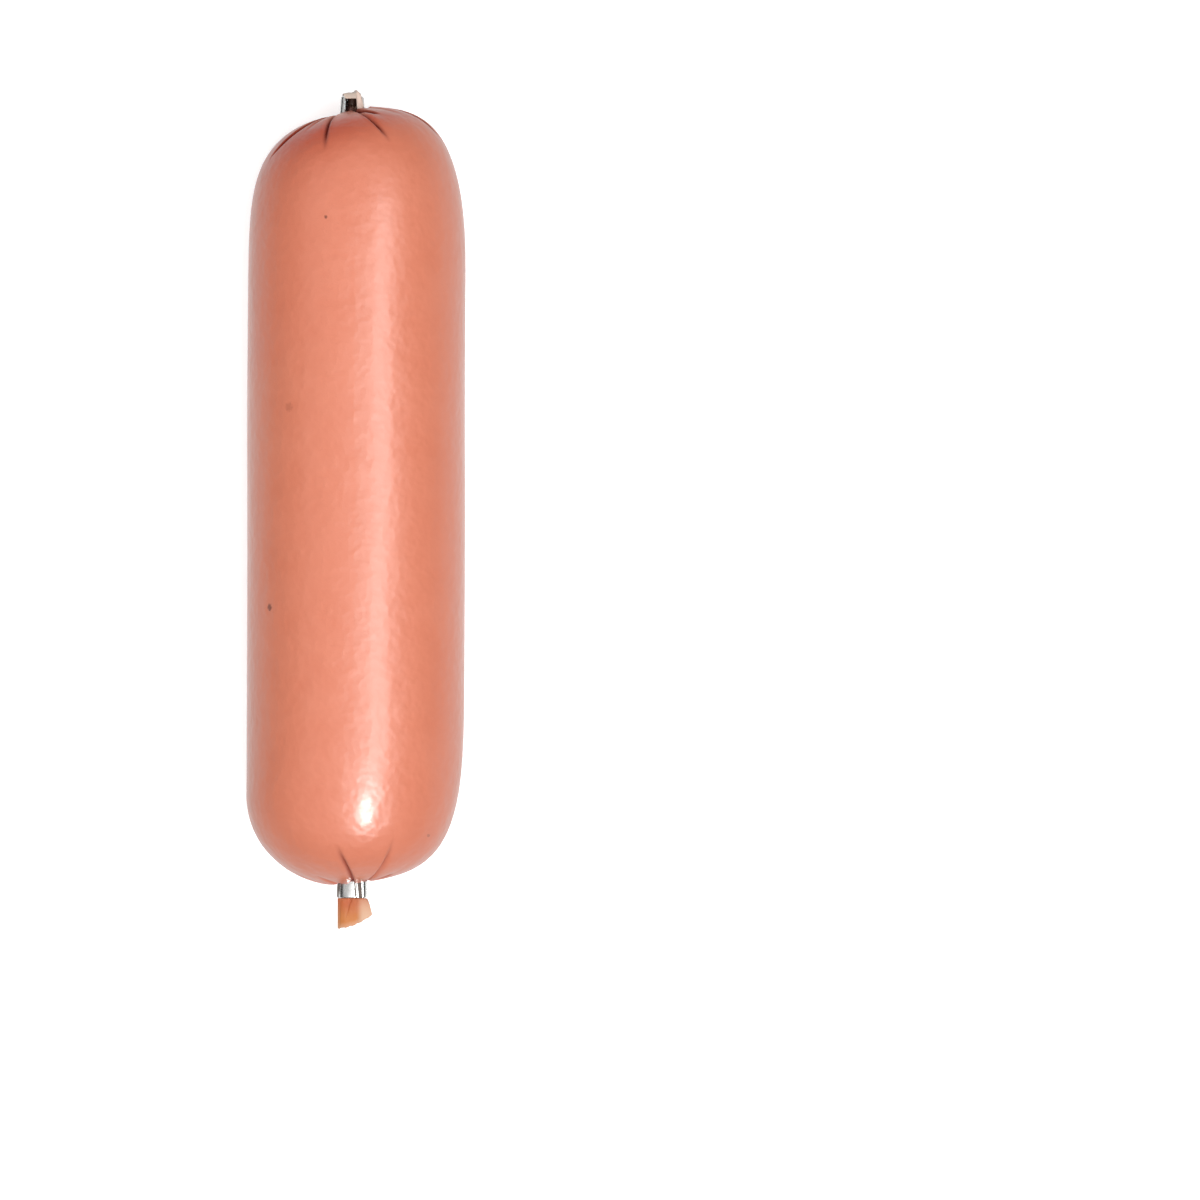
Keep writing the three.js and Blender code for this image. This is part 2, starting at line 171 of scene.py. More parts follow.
def column_angles(end, lobe, across, radius):
    """The angle of each column: crowded between two pleats near the clip, and straight along the
    barrel, halfway between its places at the two ends."""

    def pleated(either, at):
        start = pleat_path(either, lobe, at)
        after = pleat_path(either, (lobe + 1) % LOBES, at) + 360 * (lobe == LOBES - 1)
        return lerp(start, after, across)

    barrel = (pleated(NEAR_END, FOLLOWS_PLEATS) + pleated(FAR_END, FOLLOWS_PLEATS)) / 2
    return lerp(pleated(end, radius), barrel, smooth_step(radius, FOLLOWS_PLEATS, BARREL_EDGE))


def pleat_relief(end, lobe, across, angle, radius):
    """How far the skin stands out of the plain shoulder, and how dark the painted shade in its creases is.
    The film bulges as a half sine between pleats, a pleat cuts in as a bell that is narrow on the side of
    its lip and wide on the other, its lip is a low bell beside it, and small rays surround the clip."""
    relief = LOBE_RISE * np.exp(-((radius / LOBE_FADE) ** 2)) * np.sin(np.pi * across)
    rays = np.cos(RAY_COUNT * np.pi * across / (LOBES / 2))
    relief = relief + RAY_SIZE * np.exp(-((radius / RAY_FADE) ** 2)) * rays
    crease = np.zeros_like(relief)
    for pleat in (lobe, (lobe + 1) % LOBES):
        reach, depth, lip, shade = end["pleats"][pleat, 3:].T
        away = radius * np.radians(signed_turn(angle, pleat_path(end, pleat, radius)))
        width = np.where(away * lip > 0, FOLD_SHARP_SIDE, FOLD_SOFT_SIDE)
        deep = depth * (1 - smooth_step(radius, FOLD_FADES_FROM * reach, reach))
        relief = relief - deep * np.exp(-((away / width) ** 2))
        relief = relief + LIP_RISE * deep * np.exp(-(((away * lip - LIP_PLACE) / LIP_WIDTH) ** 2))
        dark = shade * (1 - smooth_step(radius, CREASE_FADES_FROM * reach, reach))
        crease = np.maximum(crease, dark * np.exp(-((away / CREASE_HALF_WIDTH) ** 2)))
    return relief, crease


def soft_dents(angle, from_middle):
    """Slow waves round and along the tight casing, under a sixth of a millimetre in all."""
    turn = np.radians(angle)
    return (
        0.06 * np.sin(2 * turn + from_middle / 23 + 1)
        + 0.05 * np.sin(3 * turn - from_middle / 17)
        + 0.04 * np.sin(5 * turn + from_middle / 11 + 2)
    )


def skin_points(end, radius, angle, from_middle):
    """Points at a radius and angle round an axis that leans over to the clip, kept above the floor."""
    turn = np.radians(angle)
    x = end["clip_x"] * (1 - smooth_step(radius, KNOT_RADIUS, LEAN_RADIUS)) + radius * np.cos(turn)
    z = np.maximum(AXIS_HEIGHT + radius * np.sin(turn), 0)
    y = np.broadcast_to(end["direction"] * from_middle, x.shape)
    return np.stack([x, y, z], axis=-1)


def neck_points(end, turn, half_x, half_z, from_middle):
    """A ring of the gathered neck: an oval with small folds round it, inside the clip."""
    folded = 1 + NECK_FOLD_SIZE * np.cos(NECK_FOLDS * turn)
    x = end["clip_x"] + half_x * folded * np.cos(turn)
    z = AXIS_HEIGHT + half_z * folded * np.sin(turn)
    return np.stack([x, np.full_like(x, end["direction"] * from_middle), z], axis=-1)


def end_rings(end):
    """One end, from the barrel in to the middle of its clip, with its creases and its gathered film.
    At a share s of the radius the shoulder stands dome * (1 - s^around)^(1 / along) out, and the
    relief is laid along that curve's normal. Inside it the film rolls over into the clip's pocket
    by a quarter turn, runs straight to the neck and out along it."""
    columns = np.arange(LOBES * COLUMNS_PER_LOBE)
    lobe = columns // COLUMNS_PER_LOBE
    across = (1 - np.cos(np.pi * (columns % COLUMNS_PER_LOBE) / COLUMNS_PER_LOBE)) / 2
    clip_halves = in_clip_frame(end, CLIP_ACROSS, CLIP_ALONG)
    pocket_x, pocket_z = (half + POCKET_CLEARANCE for half in clip_halves)

    step = np.linspace(0, 1, SHOULDER_RINGS + 1)[:, None]
    share = 1 - step ** (CROWDING_AT_CLIP + CROWDING_GROWTH * (1 - step))
    nominal = lerp(CLIP_ALONG / 2, CALIBRE / 2, share)
    angle = column_angles(end, lobe, across, nominal)
    right_share = (1 + np.cos(np.radians(angle)))[..., None] / 2
    mixed = lerp(end["left"], end["right"], right_share)
    radius, shoulder, dome, around, along = np.moveaxis(mixed, -1, 0)
    rim = oval_radius(pocket_x + POCKET_WALL, pocket_z + POCKET_WALL, angle, POCKET_SQUARENESS)
    plain = lerp(rim, radius, share)
    s = np.minimum(plain / radius, 1)
    left = np.maximum(1 - s**around, 1e-12)
    height = dome * left ** (1 / along)
    slope = height * around * s ** (around - 1) / (along * left)
    relief, crease = pleat_relief(end, lobe, across, angle, plain)
    relief = relief + share * soft_dents(angle, end["direction"] * (shoulder + height))
    normal = relief / np.hypot(slope, radius)
    shoulders = skin_points(end, plain + normal * slope, angle, shoulder + height + normal * radius)

    inner = column_angles(end, lobe, across, np.array([[0.0]]))[0]
    floor = end["clip_face"] - FIT_GAP
    pocket = skin_points(end, oval_radius(pocket_x, pocket_z, inner, POCKET_SQUARENESS), inner, floor)
    quarter = np.linspace(0, np.pi / 2, LIP_RINGS + 1)[1:, None]
    rolled = np.stack([np.sin(quarter), 1 - np.cos(quarter), np.sin(quarter)], axis=-1)
    lip = lerp(shoulders[-1], pocket, rolled)

    turn = np.radians(end["pleats"][0, 0]) + 2 * np.pi * columns / columns.size
    half_x, half_z = in_clip_frame(end, NECK_ACROSS, NECK_ALONG)
    neck = neck_points(end, turn, half_x, half_z, floor)
    inward = np.linspace(0, 1, POCKET_RINGS + 1)[1:, None, None]
    pocket_floor = lerp(lip[-1], neck, inward)
    reach = np.linspace(floor, end["clip_face"] + CLIP_BAND / 2 - HALF_GAP, NECK_RINGS + 1)[1:]
    neck_run = np.stack([neck_points(end, turn, half_x, half_z, at) for at in reach])

    rings = np.concatenate([shoulders, lip, pocket_floor, neck_run])
    extra = np.ones((len(rings) - len(shoulders), 1)) * np.zeros(columns.size)
    creases = np.concatenate([crease, extra])
    bundle = extra.copy()
    bundle[LIP_RINGS:] = np.linspace(BUNDLE_FROM, 1, len(extra) - LIP_RINGS)[:, None]
    gathered = np.concatenate([np.exp(-((plain / GATHERED_FADE) ** 2)), extra + 1])
    # A band of painted shade round the far shoulder, which faces away from the lamps; the near end has
    # none.
    left_share = 1 - right_share[..., 0]
    far_shade = np.exp(-(((plain - lerp(*FAR_SHADE_PLACES, left_share)) / FAR_SHADE_WIDTH) ** 2))
    far_shade = end["far_shade_strength"] * far_shade * lerp(FAR_SHADE_ON_RIGHT, 1, left_share)
    far_shade = np.concatenate([far_shade, 0 * extra])
    return rings, creases, np.concatenate([0 * crease, bundle]), gathered, far_shade


def closed_piece(name, rings, **attributes):
    """A closed mesh over rings of points that follow each other, with a point at the middle of the
    first and the last ring, its faces turned outwards by the sign of its volume."""
    count, columns = rings.shape[:2]
    poles = rings[[0, -1]].mean(axis=1)
    points = np.concatenate([rings.reshape(-1, 3), poles]) * MM
    column = np.arange(columns)
    after = (column + 1) % columns
    first = (np.arange(count - 1) * columns)[:, None]
    quads = np.stack([first + column, first + after, first + columns + after, first + columns + column], -1)
    quads = quads.reshape(-1, 4)
    last = (count - 1) * columns
    start_cap = np.stack([after, column, np.full(columns, count * columns)], -1)
    end_cap = np.stack([last + column, last + after, np.full(columns, count * columns + 1)], -1)
    triangles = np.concatenate([quads[:, :3], quads[:, [0, 2, 3]], start_cap, end_cap])
    a, b, c = (points[triangles[:, k]] for k in range(3))
    if np.einsum("ij,ij->", a, np.cross(b, c)) < 0:
        quads, start_cap, end_cap = (faces[:, ::-1] for faces in (quads, start_cap, end_cap))
    mesh = bpy.data.meshes.new(name)
    mesh.from_pydata(points.tolist(), [], quads.tolist() + start_cap.tolist() + end_cap.tolist())
    mesh.polygons.foreach_set("use_smooth", np.ones(len(mesh.polygons), bool))
    for label, values in attributes.items():
        ends = values[[0, -1]].mean(axis=1)
        attribute = mesh.attributes.new(label, "FLOAT", "POINT")
        attribute.data.foreach_set("value", np.concatenate([values.ravel(), ends]).astype(np.float32))
    mesh.update()
    piece = bpy.data.objects.new(name, mesh)
    bpy.context.scene.collection.objects.link(piece)
    return piece


def filled_casing():
    """The near end turned round, the barrel in straight lines between the two, and the far end."""
    near = [part[::-1] for part in end_rings(NEAR_END)]
    far = end_rings(FAR_END)
    between = np.linspace(0, 1, BARREL_RINGS + 1)[1:-1]
    start, end = near[0][-1], far[0][0]
    barrel = lerp(start, end, between[:, None, None])
    out = barrel - np.array([0, 0, AXIS_HEIGHT])
    out[..., 1] = 0
    angle = np.degrees(np.arctan2(out[..., 2], out[..., 0]))
    dents = soft_dents(angle, barrel[..., 1])
    dents = dents - lerp(soft_dents(angle, start[:, 1]), soft_dents(angle, end[:, 1]), between[:, None])
    barrel = barrel + out / np.linalg.norm(out, axis=-1, keepdims=True) * dents[..., None]
    barrel[..., 2] = np.maximum(barrel[..., 2], 0)
    flat = np.zeros(barrel.shape[:2])
    rings = np.concatenate([near[0], barrel, far[0]])
    labels = ("crease", "bundle", "gathered", "far_shade")
    stored = {label: np.concatenate([near[k], flat, far[k]]) for k, label in enumerate(labels, start=1)}
    return closed_piece("casing", rings, **stored)


casing = filled_casing()


def put(tree, kind, inputs, **settings):
    """A shader node of this kind, its settings made, its inputs set to values or joined to sockets."""
    node = tree.nodes.new("ShaderNode" + kind)
    for setting, value in settings.items():
        setattr(node, setting, value)
    for socket, value in inputs.items():
        if isinstance(value, bpy.types.NodeSocket):
            tree.links.new(value, node.inputs[socket])
        else:
            node.inputs[socket].default_value = value
    return node


def colour_mix(tree, share, first, second):
    """The first colour at share 0 and the second at share 1."""
    return put(tree, "Mix", {0: share, 6: first, 7: second}, data_type="RGBA").outputs[2]


def spread(tree, value, low, high, smooth=False):
    """A value in 0 to 1 carried over to low to high."""
    kind = "SMOOTHSTEP" if smooth else "LINEAR"
    inputs = {"Value": value, "From Min": 0.0, "From Max": 1.0, "To Min": low, "To Max": high}
    return put(tree, "MapRange", inputs, interpolation_type=kind).outputs[0]


def product(tree, first, second):
    """Two values multiplied."""
    return put(tree, "Math", {0: first, 1: second}, operation="MULTIPLY").outputs[0]


def added(tree, first, second):
    """Two values added."""
    return put(tree, "Math", {0: first, 1: second}, operation="ADD").outputs[0]


def stored(tree, label):
    """A value stored on the piece's points."""
    return put(tree, "Attribute", {}, attribute_name=label).outputs["Fac"]


def new_group(name, inputs, outputs):
    """An empty shader node group with these named sockets."""
    group = bpy.data.node_groups.new(name, "ShaderNodeTree")
    for label, kind in inputs.items():
        group.interface.new_socket(label, in_out="INPUT", socket_type="NodeSocket" + kind)
    for label, kind in outputs.items():
        group.interface.new_socket(label, in_out="OUTPUT", socket_type="NodeSocket" + kind)
    return group, group.nodes.new("NodeGroupInput").outputs, group.nodes.new("NodeGroupOutput").inputs


# Film stretched over something soft isn't even: it has slow cloudy patches, pebbles that are two to
# three millimetres wide on the casing and smaller on the tails, and a fine grain.
film_surface, given, result = new_group(
    "film surface",
    {"Vector": "Vector", "Cloud Scale": "Float", "Pebble Scale": "Float", "Grain Scale": "Float"},
    {"Cloud": "Float", "Pebble": "Float", "Grain": "Float", "Height": "Float"},
)
cloud = put(film_surface, "TexNoise", {"Vector": given[0], "Scale": given[1], "Detail": 3.0})
pebble = put(film_surface, "TexNoise", {"Vector": given[0], "Scale": given[2], "Detail": 1.0})
grain = put(film_surface, "TexNoise", {"Vector": given[0], "Scale": given[3], "Detail": 2.0})
cloud_and_pebble = added(film_surface, product(film_surface, cloud.outputs[0], 0.9), pebble.outputs[0])
surface_height = added(film_surface, cloud_and_pebble, product(film_surface, grain.outputs[0], 0.05))
for number, socket in enumerate([cloud.outputs[0], pebble.outputs[0], grain.outputs[0], surface_height]):
    film_surface.links.new(socket, result[number])

# A small speck in the meat under the film: an uneven spot round a place, in metres.
speck, given, result = new_group(
    "speck", {"Vector": "Vector", "Place": "Vector", "Half Size": "Vector"}, {"Mask": "Float"}
)
ragged = put(speck, "TexNoise", {"Vector": given[0], "Scale": 1400.0, "Detail": 2.0})
offset = put(speck, "VectorMath", {0: given[0], 1: given[1]}, operation="SUBTRACT")
scaled = put(speck, "VectorMath", {0: offset.outputs[0], 1: given[2]}, operation="DIVIDE")
length = put(speck, "VectorMath", {0: scaled.outputs[0]}, operation="LENGTH")
edge = added(speck, length.outputs["Value"], spread(speck, ragged.outputs[0], -0.6, 0.6))
fading = {"Value": edge, "From Min": 1.15, "From Max": 0.45}
inside = put(speck, "MapRange", fading, interpolation_type="SMOOTHSTEP")
speck.links.new(inside.outputs[0], result[0])


def grouped(tree, group, inputs):
    """A node group placed in a material."""
    return put(tree, "Group", inputs, node_tree=group).outputs


def new_material(name):
    """A material with its node tree, its surface shader and the piece's own coordinates."""
    material = bpy.data.materials.new(name)
    material.use_nodes = True
    tree = material.node_tree
    return material, tree, tree.nodes["Principled BSDF"], put(tree, "TexCoord", {}).outputs["Object"]


def top_of(piece, x, y):
    """The place on a piece's upper skin at x and y, in metres. Its height is the mean of the four
    nearest points there, with distance along the sausage counted at a quarter."""
    points = np.empty(len(piece.data.vertices) * 3)
    piece.data.vertices.foreach_get("co", points)
    points = points.reshape(-1, 3)
    upper = points[points[:, 2] > AXIS_HEIGHT * MM]
    away = np.hypot(upper[:, 0] - x * MM, (upper[:, 1] - y * MM) / 4)
    return (x * MM, y * MM, float(upper[np.argsort(away)[:4], 2].mean()))


MEAT_PINK = (0.61, 0.19, 0.112, 1)
MEAT_DEEP = (0.57, 0.162, 0.09, 1)
MEAT_PALE = (0.63, 0.215, 0.132, 1)
MEAT_SHADED_RED = (0.49, 0.062, 0.026, 1)
CREASE_SHADE_RED = (0.2, 0.008, 0.003, 1)
GATHERED_SHEEN_PINK = (0.66, 0.2, 0.165, 1)
BUNDLE_SHADED_BROWN = (0.045, 0.018, 0.01, 1)
BUNDLE_STREAK = (0.22, 0.16, 0.11, 1)
SPECK_BROWN = (0.13, 0.035, 0.02, 1)
# Specks: the place seen from above, the half size across and along, and how strong it is.
SPECK_HALF_DEPTH = 2.0
SPECKS = [
    (-7.1, 79.1, 0.5, 0.55, 0.85),
    (-17.4, 27.7, 1.3, 1.5, 0.22),
    (-22.8, -26.8, 0.7, 1.15, 0.8),
    (20.4, -89.2, 0.5, 0.5, 0.4),
]

casing_film, tree, shader, place = new_material("casing film over meat")
scales = {"Cloud Scale": 95.0, "Pebble Scale": 330.0, "Grain Scale": 1500.0}
film = grouped(tree, film_surface, {"Vector": place, **scales})
colour = colour_mix(tree, spread(tree, film["Cloud"], 0, 1, True), MEAT_DEEP, MEAT_PINK)
colour = colour_mix(tree, spread(tree, film["Pebble"], 0, 0.5), colour, MEAT_PALE)
# Painted shade: a deeper, darker red band round the far shoulder.
colour = colour_mix(tree, stored(tree, "far_shade"), colour, MEAT_SHADED_RED)
# Painted sheen: the gathered film near each clip turns a paler, greyer pink, as grazing reflection makes
# it.
colour = colour_mix(tree, product(tree, stored(tree, "gathered"), 0.8), colour, GATHERED_SHEEN_PINK)
for x, y, half_x, half_y, strength in SPECKS:
    size = (half_x * MM, half_y * MM, SPECK_HALF_DEPTH * MM)
    mask = grouped(tree, speck, {"Vector": place, "Place": top_of(casing, x, y), "Half Size": size})["Mask"]
    colour = colour_mix(tree, product(tree, mask, strength), colour, SPECK_BROWN)
# The creases are painted a dark red: partly the deeper red of film folded on film, partly painted shade in
# the groove.
colour = colour_mix(tree, product(tree, stored(tree, "crease"), 0.95), colour, CREASE_SHADE_RED)
# The bundle in the clip's hollow: brown film darkened by painted shade, with lighter streaks.
streaks = put(tree, "TexNoise", {"Vector": place, "Scale": 900.0, "Detail": 3.0}).outputs[0]
streaks = put(tree, "MapRange", {"Value": streaks, "From Min": 0.52, "From Max": 0.72}).outputs[0]
shaded_bundle_colour = colour_mix(tree, streaks, BUNDLE_SHADED_BROWN, BUNDLE_STREAK)
colour = colour_mix(tree, stored(tree, "bundle"), colour, shaded_bundle_colour)
tree.links.new(colour, shader.inputs["Base Color"])
matt = added(tree, stored(tree, "crease"), product(tree, stored(tree, "gathered"), 0.35))
gloss = spread(tree, film["Cloud"], 0.3, 0.42)
rough = put(tree, "Mix", {0: matt, 2: gloss, 3: 0.95}, data_type="FLOAT").outputs[0]
tree.links.new(rough, shader.inputs["Roughness"])
tree.links.new(spread(tree, product(tree, matt, 2.5), 0.2, 0.0), shader.inputs["Coat Weight"])
# The film isn't metal. The creases count as mostly metallic so that no pale gloss whitens them.
tree.links.new(product(tree, stored(tree, "crease"), 0.85), shader.inputs["Metallic"])
shader.inputs["Coat Roughness"].default_value = 0.14
bump = put(tree, "Bump", {"Strength": 1.0, "Distance": 0.00023, "Height": film["Height"]})
tree.links.new(bump.outputs[0], shader.inputs["Normal"])
casing.data.materials.append(casing_film)

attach(casing, "root")
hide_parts("filled_casing")

# ---- The two clips ----
# Flat aluminium wire bent to a U and pressed round the gathered film by a die, which pinches its legs
# together on the tail's side, rounds their tips inwards and leaves grooves and scuffs across them.

CLIP_WIRE = 1.8
# A tip: how long its rounding is, how far its outer and its inner side end up from the wire's inner
# face, and the share by which the band gets narrower.
CLIP_TIP_ROUND, CLIP_TIP_OUTER, CLIP_TIP_INNER, CLIP_TIP_NARROWS = 1.4, 0.35, 0.25, 0.1
# Stations along the wire crowd a little towards its tips.
CLIP_STATIONS, CLIP_CROWDING, CORNER_STEPS = 150, 0.06, 6
# Each corner of the wire's section: its side of the wire, its side of the band, and its radius.
CLIP_CORNERS = [(1, 1, 0.4), (-1, 1, 0.3), (-1, 0, 0.3), (1, 0, 0.45)]
# Grooves across the wire: where along the U from its middle, half their width and their depth. They
# lean by the slant for each millimetre of band, and the wire's outer side is uneven by a little.
CLIP_GROOVES = [(0.96, 0.13, 0.05), (2.3, 0.46, 0.09), (-2.9, 0.16, 0.05)]
GROOVE_SLANT = 0.072
WIRE_UNEVEN = 0.03


def wire_section():
    """A rectangle of the wire's thickness by the band's width with a quarter circle at each corner."""
    corners = []
    for side, far_side, radius in CLIP_CORNERS:
        start = {(1, 1): 0, (-1, 1): 90, (-1, 0): 180, (1, 0): 270}[side, far_side]
        turn = np.radians(start + np.linspace(0, 90, CORNER_STEPS))
        centre_out = side * (CLIP_WIRE / 2 - radius)
        centre_along = CLIP_BAND - radius if far_side else radius
        corner = [centre_out + radius * np.cos(turn), centre_along + radius * np.sin(turn)]
        corners.append(np.stack(corner, -1))
    return np.concatenate(corners)


def bent_clip(name, end, seed):
    """The section carried along a U: a leg, a half circle and a leg. Near a tip its outer side comes
    in by a quarter circle, and across the wire run the die's grooves, each a flat-topped bell."""
    centre = (CLIP_ACROSS - CLIP_WIRE) / 2
    bridge = CLIP_ACROSS / 2 - CLIP_ALONG / 2
    leg = CLIP_ALONG / 2 - bridge
    length = 2 * leg + np.pi * centre
    evenly = np.linspace(0, 1, CLIP_STATIONS)
    run = length * (evenly - CLIP_CROWDING * np.sin(2 * np.pi * evenly) / np.pi)
    bend = np.clip((run - leg) / centre, 0, np.pi)
    straight = np.where(run < leg, leg - run, np.maximum(run - leg - np.pi * centre, 0))
    path_across = -centre * np.cos(bend)
    path_along = bridge - centre * np.sin(bend) + straight
    out_across, out_along = -np.cos(bend), -np.sin(bend)

    section = wire_section()
    out, along_band = section[:, 0], section[:, 1]
    from_tip = np.minimum(run, length - run)
    rounding = np.clip(1 - from_tip / CLIP_TIP_ROUND, 0, 1)
    outer = CLIP_WIRE / 2 - CLIP_TIP_ROUND * (1 - np.sqrt(1 - rounding**2 + 1e-9))
    outer = np.maximum(outer, -CLIP_WIRE / 2 + CLIP_TIP_OUTER)
    inner = -CLIP_WIRE / 2 + CLIP_TIP_INNER * rounding**2
    marks = np.zeros((run.size, out.size))
    # The grooves also mark where the wire is painted with shade.
    wear = np.zeros((run.size, out.size))
    for at, half_width, depth in CLIP_GROOVES:
        slant = at + GROOVE_SLANT * (along_band - CLIP_BAND / 2) * np.sign(at)
        bell = np.exp(-(((path_along[:, None] - slant) / half_width) ** 4))
        marks += depth * bell * (out > 0)
        wear += bell * (out > 0)
    share = (out + CLIP_WIRE / 2) / CLIP_WIRE
    offset = lerp(inner[:, None], outer[:, None], share) - marks
    along = CLIP_BAND / 2 + (along_band - CLIP_BAND / 2) * (1 - CLIP_TIP_NARROWS * rounding[:, None] ** 2)
    uneven = WIRE_UNEVEN * np.sin(2.3 * run[:, None] + 1.1 * along + seed) * (share > 0.5)
    across = path_across[:, None] + out_across[:, None] * (offset + uneven)
    up = path_along[:, None] + out_along[:, None] * (offset + uneven)
    across = across * lerp(1, CLIP_PINCH, along / CLIP_BAND)
    x, z = (across, up) if end["opens_up"] else (up, across)
    y = end["direction"] * (end["clip_face"] + along)
    rings = np.stack([end["clip_x"] + x, y, AXIS_HEIGHT + z], axis=-1)
    return closed_piece(name, rings, wear=np.clip(wear, 0, 1), along_wire=run[:, None] + 0 * wear)


METAL_BRIGHT = (0.82, 0.81, 0.79, 1)
METAL_SCUFFED = (0.55, 0.54, 0.52, 1)
METAL_GROOVE_SHADE = (0.1, 0.075, 0.06, 1)

clip_metal, tree, shader, place = new_material("pressed aluminium wire")
scuffing = {"Vector": place, "Scale": 700.0, "Detail": 4.0, "Distortion": 0.6}
scuffs = put(tree, "TexNoise", scuffing).outputs[0]
scuffed = put(tree, "MapRange", {"Value": scuffs, "From Min": 0.5, "From Max": 0.75}).outputs[0]
stretch = put(tree, "Mapping", {"Vector": place, "Scale": (5000.0, 400.0, 5000.0)}).outputs[0]
drawn = put(tree, "TexNoise", {"Vector": stretch, "Scale": 1.0, "Detail": 2.0}).outputs[0]
colour = colour_mix(tree, scuffed, METAL_BRIGHT, METAL_SCUFFED)
# Painted shade: the die's grooves turn dark, rough and not metallic.
groove_shade = put(tree, "MapRange", {"Value": stored(tree, "wear"), "From Min": 0.08, "From Max": 0.4}).outputs[0]
colour = colour_mix(tree, groove_shade, colour, METAL_GROOVE_SHADE)
tree.links.new(colour, shader.inputs["Base Color"])
polish = spread(tree, scuffs, 0.12, 0.42)
rough = put(tree, "Mix", {0: groove_shade, 2: polish, 3: 0.8}, data_type="FLOAT").outputs[0]
tree.links.new(rough, shader.inputs["Roughness"])
tree.links.new(spread(tree, groove_shade, 1, 0), shader.inputs["Metallic"])
metal_height = added(tree, scuffs, product(tree, drawn, 0.25))
bump = put(tree, "Bump", {"Strength": 0.5, "Distance": 0.000025, "Height": metal_height})
tree.links.new(bump.outputs[0], shader.inputs["Normal"])

for name, end, seed in (("far_clip", FAR_END, 0.4), ("near_clip", NEAR_END, 2.1)):
    clip = bent_clip(name, end, seed)
    clip.data.materials.append(clip_metal)
    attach(clip, "root")
    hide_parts("clip_far" if end is FAR_END else "clip_near")

# ---- The near tail ----
# Empty casing left beyond the near clip: several layers of film folded to a fan, amber where they lie
# thick and creamy where the last single layer stands free, cut off on a slant with a knife.

FAN_DIVISIONS, FAN_STATIONS, FAN_DISH_STATIONS = 192, 44, 14
FAN_WIDTHS = (7.9, 9.6)
FAN_DEPTHS = (2.7, 3.4)
FAN_SHIFT_AT_CUT = 0.8
# A tail's root is this share of the neck's size. The fan starts just clear of the clip, after a step.
TAIL_NECK_SHARE = 0.96
FAN_CLEARANCE, FAN_ROOT_STEP = 0.12, 0.02
FAN_LONG_SIDE, FAN_SHORT_SIDE, FAN_CUT_BOW = 8.5, 4.8, 0.8
# The single layer on the right: where it thins out, by how much, and the power of its growth outward.
FAN_THIN_FROM, FAN_THIN_TO, FAN_THIN_SHARE, FAN_THIN_POWER = 1.2, 3.0, 0.55, 0.4
# The left edge is thinner too: from and to these places across, by a share of the other side's.
FAN_EDGE_FROM, FAN_EDGE_TO, FAN_EDGE_SHARE = 3.0, 3.8, 0.5
# Waves across the fan: how many round it, their size, their turn and how much they twist outward.
FAN_WAVES = [(5, 0.05, 0.7, 0), (3, 0.05, 0, 0), (17, 0.012, 0, 2)]
# The dished cut: its depth, the share by which it narrows, and the ripples of its layers.
FAN_DISH_DEPTH, FAN_DISH_NARROWS, FAN_RIPPLE, FAN_RIPPLE_TURN = 0.8, 0.92, 0.12, 22
# A fold fades outward: its strength at the clip, and how much it loses to the cut.
FAN_CREASE_START, FAN_CREASE_LOSS = 1.15, 1.6
# Folds on the fan: their place across at the clip and at the cut, their half width and their depth.
FAN_CREASES = [(-0.1, -2.4, 0.16, 0.4), (1.5, 1.3, 0.3, 0.16), (-3.0, -3.5, 0.2, 0.12)]


